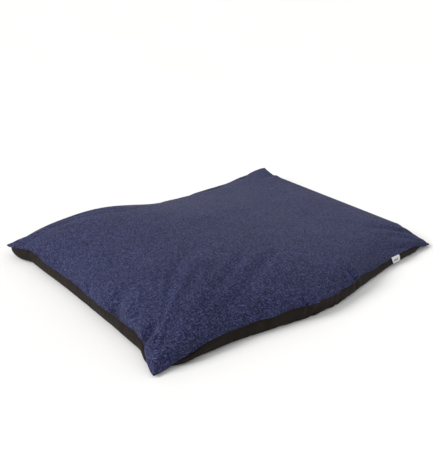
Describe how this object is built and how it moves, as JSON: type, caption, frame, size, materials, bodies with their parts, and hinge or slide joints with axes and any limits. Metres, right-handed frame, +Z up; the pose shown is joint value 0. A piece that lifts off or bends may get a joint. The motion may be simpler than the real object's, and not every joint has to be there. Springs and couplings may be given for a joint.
{
  "type": "pet cushion bed",
  "caption": "Rectangular pet cushion bed: a soft pillow-shaped cover of woven cloth over a coated base, closed by a side zip, with a separate fibre-filled pad inside.",
  "frame": {"origin": "middle of the underside, on the surface that the cushion rests on", "axes": "+X along the long side towards the zipped end, +Y across the cushion towards the back, +Z up out of the resting face"},
  "size_m": [1, 0.76, 0.1387],
  "materials": {
    "top_cloth": "heathered navy woven upholstery cloth, matt",
    "base_cloth": "dark brown to black coated woven cloth, low sheen",
    "thread_dark": "dark polyester thread",
    "thread_navy": "navy polyester thread",
    "thread_white": "white polyester thread",
    "zip_tape": "black knitted polyester tape",
    "zip_teeth": "black nylon",
    "zip_metal": "pressed steel",
    "zip_black_metal": "black enamelled zinc",
    "label_cloth": "white woven satin",
    "case_cloth": "white polycotton",
    "polyester_fibre": "loose hollow polyester fibre"
  },
  "bodies": {
    "cushion": {"cover_top": "top_cloth", "cover_base": "base_cloth", "cover_overlock": "thread_dark", "zip_tape_upper": "zip_tape", "zip_tape_lower": "zip_tape", "zip_teeth_upper": "zip_teeth", "zip_teeth_lower": "zip_teeth", "zip_top_stops": "zip_metal", "zip_bottom_stop": "zip_metal", "zip_stitching_upper": "thread_navy", "zip_stitching_lower": "thread_dark", "zip_bar_tacks": "thread_dark", "side_label": "label_cloth", "care_label": "label_cloth", "inner_case_top": "case_cloth", "inner_case_base": "case_cloth", "inner_case_overlock": "thread_white", "fibre_fill": "polyester_fibre"},
    "slider": {"zip_slider": "zip_black_metal"},
    "pull": {"zip_pull": "zip_black_metal"}
  },
  "joints": [
    {"name": "zip_slide", "type": "slide", "parent": "cushion", "child": "slider", "axis": [0, -1, 0], "range_m": [0, 0.4694], "deforming": ["zip_teeth_upper", "zip_teeth_lower"]},
    {"name": "pull_swing", "type": "hinge", "parent": "slider", "child": "pull", "pos_m": [0.4764, 0.26441, 0.038], "axis": [0, 0, 1], "range_deg": [0, 180]}
  ]
}
